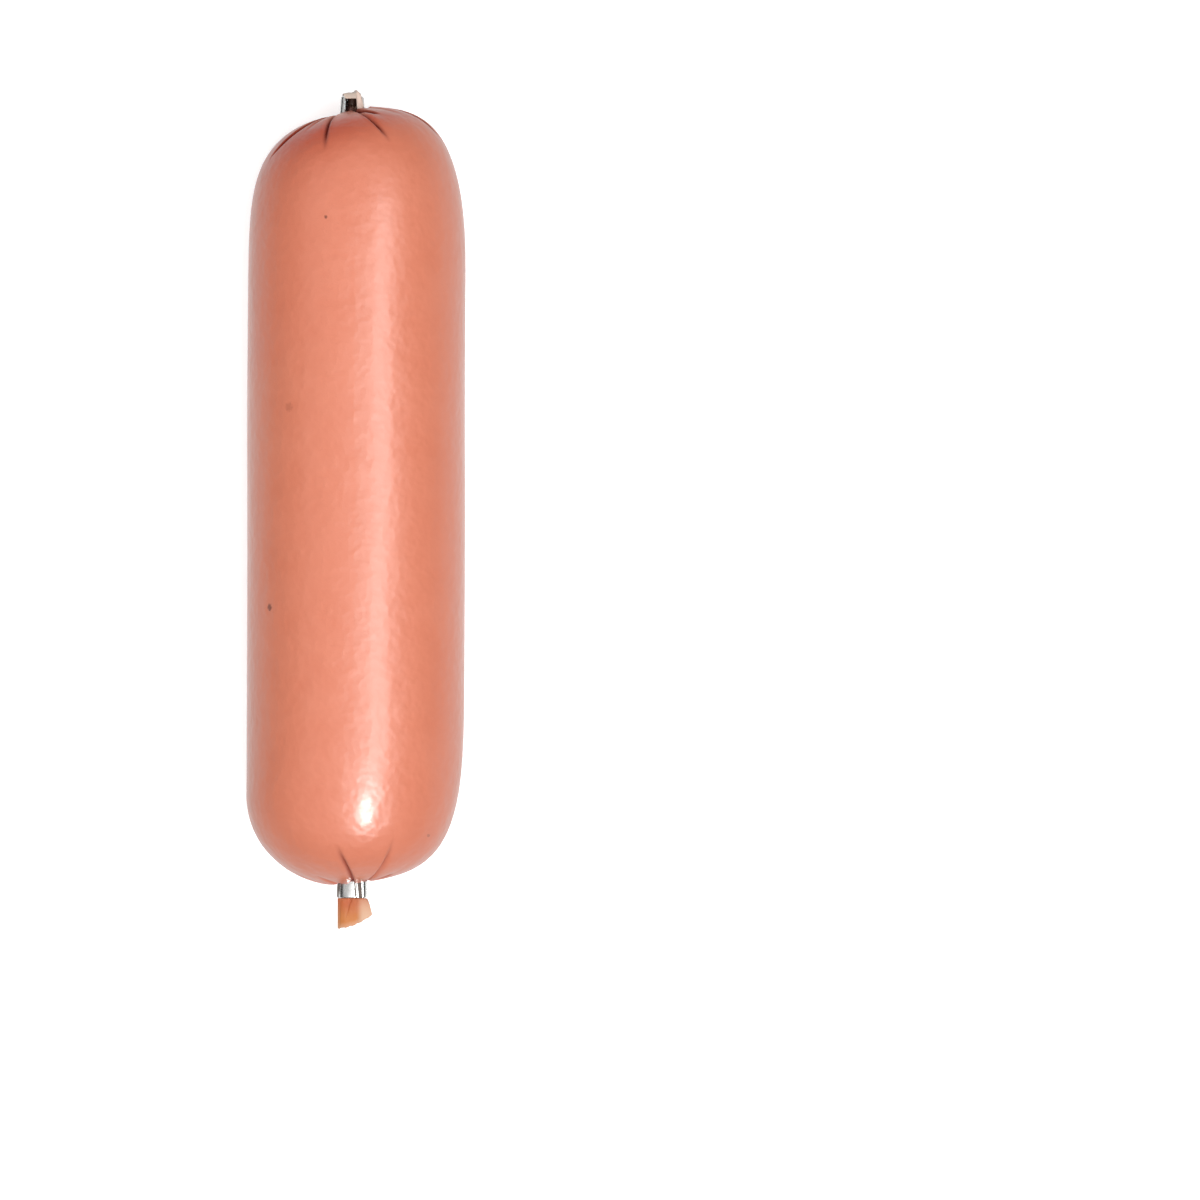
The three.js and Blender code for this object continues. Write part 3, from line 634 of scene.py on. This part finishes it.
def fan_tail():
    """A flat oval tube that widens from the clip to the cut. Its half depth is thinner on the side of
    the single layer, waves run across it, and each fold is a narrow bell cut into it along a line.
    The cut runs on a slant with a bow. Inside its rim the end is dished, by the square root of the
    way in, with ripples."""
    end = NEAR_END
    angle = np.linspace(0, 2 * np.pi, FAN_DIVISIONS, endpoint=False)
    half_x, half_z = (half * TAIL_NECK_SHARE for half in in_clip_frame(end, NECK_ACROSS, NECK_ALONG))
    start, leave = CLIP_BAND / 2 + HALF_GAP, CLIP_BAND + FAN_CLEARANCE

    def cut_at(x):
        from_short = np.clip(0.5 - (x - FAN_SHIFT_AT_CUT) / FAN_WIDTHS[1], 0, 1)
        ragged = 0.1 * np.sin(3.1 * x) + 0.06 * np.sin(7.3 * x + 1)
        bow = FAN_CUT_BOW * np.sin(np.pi * from_short)
        return CLIP_BAND + lerp(FAN_SHORT_SIDE, FAN_LONG_SIDE, from_short) + bow + ragged

    def fan_rings(outward, scale, sunk):
        half_width = scale * lerp(*FAN_WIDTHS, np.sqrt(outward)) / 2
        half_depth = scale * lerp(*FAN_DEPTHS, outward) / 2
        x = half_width * np.cos(angle) + FAN_SHIFT_AT_CUT * np.sqrt(outward)
        thin = smooth_step(x, FAN_THIN_FROM, FAN_THIN_TO)
        edge = FAN_EDGE_SHARE * smooth_step(-x, FAN_EDGE_FROM, FAN_EDGE_TO)
        thin = np.maximum(thin, edge) * outward**FAN_THIN_POWER
        waves = sum(
            size * np.cos(count * angle + turn + twist * outward) for count, size, turn, twist in FAN_WAVES
        )
        folded = 1 + waves * np.abs(np.sin(angle))
        z = half_depth * folded * np.sin(angle) * (1 - FAN_THIN_SHARE * thin)
        dark = np.zeros_like(z)
        for at_clip, at_cut, width, depth in FAN_CREASES:
            away = (x - lerp(at_clip, at_cut, outward)) / width
            bell = np.exp(-(away**2)) * np.clip(FAN_CREASE_START - FAN_CREASE_LOSS * outward, 0, 1)
            z = z - np.sign(z) * depth * bell * np.minimum(np.abs(z), 1)
            # A fold's painted shade grows with its depth.
            dark = np.maximum(dark, bell * depth * 2)
        y = lerp(leave + FAN_ROOT_STEP, cut_at(x), outward) - sunk
        points = np.stack(np.broadcast_arrays(x, y, z), axis=-1)
        return points, np.broadcast_to(dark, z.shape), thin + 0 * z

    outward = np.linspace(0, 1, FAN_STATIONS)[:, None]
    sides, side_dark, side_thin = fan_rings(outward, 1, 0)
    inward = np.linspace(0, 1, FAN_DISH_STATIONS + 1)[1:, None]
    layers = FAN_DISH_DEPTH * np.sqrt(inward) + FAN_RIPPLE * np.sin(inward * FAN_RIPPLE_TURN)
    dish, dish_dark, dish_thin = fan_rings(np.ones_like(inward), 1 - FAN_DISH_NARROWS * inward, layers)
    neck_x = oval_radius(half_x, half_z, np.degrees(angle)) * np.cos(angle)
    neck_z = oval_radius(half_x, half_z, np.degrees(angle)) * np.sin(angle)
    neck_places = (start, (start + leave) / 2, leave)
    neck = np.stack([np.stack([neck_x, np.full_like(neck_x, at), neck_z], -1) for at in neck_places])
    local = np.concatenate([neck, sides, dish])
    rings = local * np.array([1, end["direction"], 1])
    rings = rings + np.array([end["clip_x"], end["direction"] * end["clip_face"], AXIS_HEIGHT])
    # The root inside the clip takes full painted shade.
    in_clip = np.ones((len(neck), FAN_DIVISIONS))
    return closed_piece(
        "near_tail",
        rings,
        crease=np.clip(np.concatenate([in_clip, side_dark, dish_dark]), 0, 1),
        thin=np.concatenate([0 * in_clip, side_thin, dish_thin * 0.5 + 0.3]),
        outward=np.concatenate([0 * in_clip, outward + 0 * side_dark, 1 + 0 * dish_dark]),
    )


FAN_AMBER = (0.47, 0.15, 0.024, 1)
FAN_RED = (0.39, 0.07, 0.014, 1)
FAN_CREAM = (0.56, 0.35, 0.23, 1)
FAN_GOLD = (0.55, 0.26, 0.1, 1)
FAN_CREASE_SHADE = (0.28, 0.07, 0.02, 1)

fan_film, tree, shader, place = new_material("folded film")
scales = {"Cloud Scale": 300.0, "Pebble Scale": 900.0, "Grain Scale": 3000.0}
film = grouped(tree, film_surface, {"Vector": place, **scales})
outward = stored(tree, "outward")
colour = colour_mix(tree, spread(tree, outward, 0, 1, True), FAN_RED, FAN_AMBER)
colour = colour_mix(tree, spread(tree, film["Cloud"], 0, 0.3), colour, FAN_GOLD)
colour = colour_mix(tree, stored(tree, "thin"), colour, FAN_CREAM)
near_cut = {"Value": outward, "From Min": 0.8, "From Max": 1.0, "To Max": 0.6}
tip = put(tree, "MapRange", near_cut).outputs[0]
colour = colour_mix(tree, tip, colour, FAN_CREAM)
# Painted shade: the folds turn dark, and so does the root inside the clip.
colour = colour_mix(tree, product(tree, stored(tree, "crease"), 0.8), colour, FAN_CREASE_SHADE)
tree.links.new(colour, shader.inputs["Base Color"])
tree.links.new(spread(tree, film["Pebble"], 0.62, 0.82), shader.inputs["Roughness"])
bump = put(tree, "Bump", {"Strength": 1.0, "Distance": 0.0001, "Height": film["Height"]})
tree.links.new(bump.outputs[0], shader.inputs["Normal"])

near_tail = fan_tail()
near_tail.data.materials.append(fan_film)
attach(near_tail, "root")
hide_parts("tail_near")

# ---- The far tail ----
# The casing is cut close to the far clip. The thin film that is left spreads over the clip as a short
# pale frill, and one part of it hangs back as a flap over the tip of the right leg.

FRILL_DIVISIONS = 240
FRILL_RADIUS, FRILL_SPREAD, FRILL_HEIGHT, FRILL_TILT, FRILL_SHIFT = 2.1, 0.1, 0.7, 0.3, -0.45
# Small folds round the rim: how many, their size and their turn.
FRILL_FOLDS = [(5, 0.08, -0.97), (8, 0.07, -1.57), (13, 0.04, 0.6)]
FRILL_PEAK = {"height": 0.75, "angle": 58, "half_width": 38}
FRILL_HOLLOW = {"radius": 0.8, "floor": 0.4, "rise": 0.2}
FLAP = {"drop": 4.0, "angle": 69, "half_width": 8, "start": 0.12, "full": 0.5, "lean": 0.34}
# The flap leans out to the right over these degrees past its middle.
FLAP_FLARES = (-5, 6)
# The rim's wide, shallow hem on the shown side.
HEM = {"drop": 1.1, "angle": 92, "half_width": 34}
FILM_BUNDLE, FILM_LIP = 0.5, 0.12
# Rings made between two given ones, those over which the flap's colour comes in, and those over which
# the painted shade of the neck ends.
FRILL_BETWEEN, FLAP_RINGS, NECK_DARK_RINGS = 6, (12, 26), (4, 10)


def angular_bump(angle, centre, half_width):
    """1 at the centre, falling as a squared cosine to 0 at the half width, in degrees."""
    away = np.abs(signed_turn(np.degrees(angle), centre)) / half_width
    return np.where(away < 1, np.cos(np.minimum(away, 1) * np.pi / 2) ** 2, 0)


def smooth_run(rings, between):
    """More rings between the given ones, on a cubic that runs from each to the next. Its slope at a
    ring is half the step from the ring before it to the ring after it."""
    padded = np.concatenate([rings[:1], rings, rings[-1:]])
    t = np.linspace(0, 1, between, endpoint=False)[:, None, None]
    runs = [
        b
        + t * (c - a) / 2
        + t**2 * (a - 2.5 * b + 2 * c - d / 2)
        + t**3 * (1.5 * (b - c) + (d - a) / 2)
        for a, b, c, d in zip(padded[:-3], padded[1:-2], padded[2:-1], padded[3:])
    ]
    return np.concatenate([*runs, rings[-1:]])


def frill_tail():
    """Rings out of the neck, out over the clip's face to a frilled rim, down and back where the flap
    hangs, up over a bundle of film to the crest and in to a hollow, joined by a smooth curve."""
    end = FAR_END
    angle = np.linspace(0, 2 * np.pi, FRILL_DIVISIONS, endpoint=False)
    half_x, half_z = (half * TAIL_NECK_SHARE for half in in_clip_frame(end, NECK_ACROSS, NECK_ALONG))
    start, under = CLIP_BAND / 2 + HALF_GAP, CLIP_BAND + FIT_GAP
    neck = oval_radius(half_x, half_z, np.degrees(angle))
    folds = sum(size * np.cos(count * angle + turn) for count, size, turn in FRILL_FOLDS)
    bump = angular_bump(angle, FLAP["angle"], FLAP["half_width"])
    hem = angular_bump(angle, HEM["angle"], HEM["half_width"])
    past_edge = smooth_step(np.maximum(bump, hem), 0, FLAP["start"])
    in_x = np.abs(np.cos(angle)) / (CLIP_ACROSS * (1 + CLIP_PINCH) / 2)
    in_z = np.abs(np.sin(angle)) / CLIP_ALONG
    clear = 0.5 / np.maximum(in_x, in_z) + FIT_GAP
    hang = FLAP["drop"] * smooth_step(bump, FLAP["start"], FLAP["full"])
    hang = np.maximum(hang, HEM["drop"] * smooth_step(hem, FLAP["start"], FLAP["full"]))
    towards_flap = np.cos(angle - np.radians(FLAP["angle"]))
    rim = lerp(FRILL_RADIUS + FRILL_SPREAD * towards_flap + folds, clear, past_edge)
    top = under + FRILL_HEIGHT * (1 + FRILL_TILT * (towards_flap - 1)) + folds
    peak = FRILL_PEAK["height"] * angular_bump(angle, FRILL_PEAK["angle"], FRILL_PEAK["half_width"])
    hollow, floor, rise = FRILL_HOLLOW["radius"], under + FRILL_HOLLOW["floor"], FRILL_HOLLOW["rise"]
    flat = np.zeros_like(angle)
    radii = [
        neck,
        neck,
        (neck + rim) / 2,
        rim,
        rim,
        rim + FILM_BUNDLE,
        rim,
        3 / 4 * rim,
        rim / 2,
        flat + hollow,
        flat + hollow / 2,
    ]
    heights = [
        flat + start,
        flat + under,
        flat + under,
        flat + under,
        under + FILM_LIP - hang,
        under + 2 * FILM_LIP - hang,
        (under + top) / 2 + FILM_LIP,
        top + peak / 2,
        top + peak,
        flat + floor,
        flat + floor + rise,
    ]
    radius, height = np.stack(radii), np.stack(heights)
    flared = smooth_step(FLAP["angle"] - np.degrees(angle), *FLAP_FLARES)
    leaning = FLAP["lean"] * np.clip(under - height, 0, None) * flared
    shifted = (leaning + FRILL_SHIFT * (1 - past_edge)) * (radius > neck)
    local = np.stack([radius * np.cos(angle) + shifted, height, radius * np.sin(angle)], axis=-1)
    local = smooth_run(local, FRILL_BETWEEN)
    rings = local + np.array([end["clip_x"], end["clip_face"], AXIS_HEIGHT])
    number = np.arange(len(rings))[:, None]
    hanging = np.clip(bump, 0, 1) * smooth_step(number, *FLAP_RINGS)
    inside = 1 - smooth_step(number, *NECK_DARK_RINGS) + 0 * hanging
    return closed_piece("far_tail", rings, flap=hanging, neck=inside)


FRILL_BEIGE = (0.62, 0.47, 0.38, 1)
FRILL_GREY = (0.42, 0.36, 0.31, 1)
FRILL_PINK = (0.74, 0.55, 0.46, 1)

frill_film, tree, shader, place = new_material("thin dry film")
scales = {"Cloud Scale": 450.0, "Pebble Scale": 1400.0, "Grain Scale": 4000.0}
film = grouped(tree, film_surface, {"Vector": place, **scales})
colour = colour_mix(tree, spread(tree, film["Cloud"], 0, 1, True), FRILL_GREY, FRILL_BEIGE)
colour = colour_mix(tree, product(tree, stored(tree, "flap"), 0.7), colour, FRILL_PINK)
# Painted shade: the neck inside the clip takes the shaded brown of the film bundle.
colour = colour_mix(tree, stored(tree, "neck"), colour, BUNDLE_SHADED_BROWN)
tree.links.new(colour, shader.inputs["Base Color"])
tree.links.new(spread(tree, film["Pebble"], 0.35, 0.6), shader.inputs["Roughness"])
shader.inputs["Coat Weight"].default_value = 0.25
shader.inputs["Coat Roughness"].default_value = 0.25
bump = put(tree, "Bump", {"Strength": 1.0, "Distance": 0.00012, "Height": film["Height"]})
tree.links.new(bump.outputs[0], shader.inputs["Normal"])

far_tail = frill_tail()
far_tail.data.materials.append(frill_film)
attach(far_tail, "root")
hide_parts("tail_far")

# ---- The floor, the light and the camera ----
# A plain white floor under a broad softbox, with a strip lamp that draws the gloss along the casing
# and a small window lamp for its bright spot. The camera looks straight down.

FLOOR_SIZE = 6.0
FLOOR_WHITE = (0.9, 0.9, 0.9, 1)
FLOOR_BOUNCE = (0.5, 0.5, 0.5, 1)
FLOOR_DARK = (0.05, 0.05, 0.05, 1)
mesh = bpy.data.meshes.new("floor")
half = FLOOR_SIZE / 2
corners = [(-half, -half, 0), (half, -half, 0), (half, half, 0), (-half, half, 0)]
mesh.from_pydata(corners, [], [(0, 1, 2, 3)])
floor = bpy.data.objects.new("floor", mesh)
bpy.context.scene.collection.objects.link(floor)
# Glossy rays see this floor dark, but for a glow near the sausage: a painted reflection that makes the pale
# haze along its outline. For the camera the whole floor glows a little too, painted light that hides the
# sausage's shadow on it.
floor_paint, tree, shader, place = new_material("white floor")
rays = put(tree, "LightPath", {}).outputs
colour = colour_mix(tree, rays["Is Diffuse Ray"], FLOOR_WHITE, FLOOR_BOUNCE)
tree.links.new(colour_mix(tree, rays["Is Glossy Ray"], colour, FLOOR_DARK), shader.inputs["Base Color"])
away = put(tree, "VectorMath", {0: place}, operation="LENGTH").outputs["Value"]
near_sausage = {"Value": away, "From Min": 0.04, "From Max": 0.36, "To Min": 1.3, "To Max": 0.1}
glow = put(tree, "MapRange", near_sausage).outputs[0]
glow = product(tree, glow, rays["Is Glossy Ray"])
shader.inputs["Emission Color"].default_value = (1, 1, 1, 1)
glow = added(tree, glow, product(tree, rays["Is Camera Ray"], 0.45))
tree.links.new(glow, shader.inputs["Emission Strength"])
shader.inputs["Roughness"].default_value = 0.9
shader.inputs["Specular IOR Level"].default_value = 0.1
floor.data.materials.append(floor_paint)

world = bpy.data.worlds.new("studio")
world.use_nodes = True
background = world.node_tree.nodes["Background"].inputs
background["Color"].default_value = (1, 1, 1, 1)
reflected = put(world.node_tree, "LightPath", {}).outputs["Is Glossy Ray"]
world.node_tree.links.new(spread(world.node_tree, reflected, 0.3, 0.03), background["Strength"])
bpy.context.scene.world = world


def lamp(name, place, aim, size, radiance, diffuse=True, gloss=True):
    """A rectangular lamp that faces a point, of this radiance over its whole face."""
    light = bpy.data.lights.new(name, "AREA")
    light.shape = "RECTANGLE"
    light.size, light.size_y = size
    light.energy = radiance * np.pi * size[0] * size[1]
    holder = bpy.data.objects.new(name, light)
    bpy.context.scene.collection.objects.link(holder)
    holder.location = place
    direction = np.array(place) - np.array(aim)
    tilt = np.arccos(direction[2] / np.linalg.norm(direction))
    holder.rotation_euler = (0, tilt, np.arctan2(direction[1], direction[0]))
    holder.visible_camera = False
    holder.visible_diffuse = diffuse
    holder.visible_glossy = gloss
    return holder


lamp("broad softbox", (0.0, -0.3, 1.25), (0, -0.3, 0), (3.6, 3.6), 0.55)
lamp("overhead lamp", (0.29, -0.26, 1.5), (0, 0, 0), (0.8, 0.8), 9.6, gloss=False)
strip = lamp("strip lamp", (0.237, -0.03, 0.48), (0.237, -0.03, 0), (0.17, 0.54), 6.3, diffuse=False)
strip.rotation_euler = (0, 0, np.radians(-12))
strip.data.color = (0.77, 0.94, 1)
lamp("window lamp", (0.225, -0.52, 0.75), (0.225, -0.08, 0.05), (0.3, 0.17), 50.0, diffuse=False)

CAMERA_AIM_X, CAMERA_AIM_Y = 0.06728, -0.02482
CAMERA_HEIGHT = 1.867
camera = bpy.data.objects.new("camera", bpy.data.cameras.new("camera"))
camera.data.lens = 200
camera.data.sensor_width = 36
camera.data.clip_end = 20
camera.location = (CAMERA_AIM_X, CAMERA_AIM_Y, CAMERA_HEIGHT)
bpy.context.scene.collection.objects.link(camera)
bpy.context.scene.camera = camera
bpy.context.scene.view_settings.view_transform = "Standard"
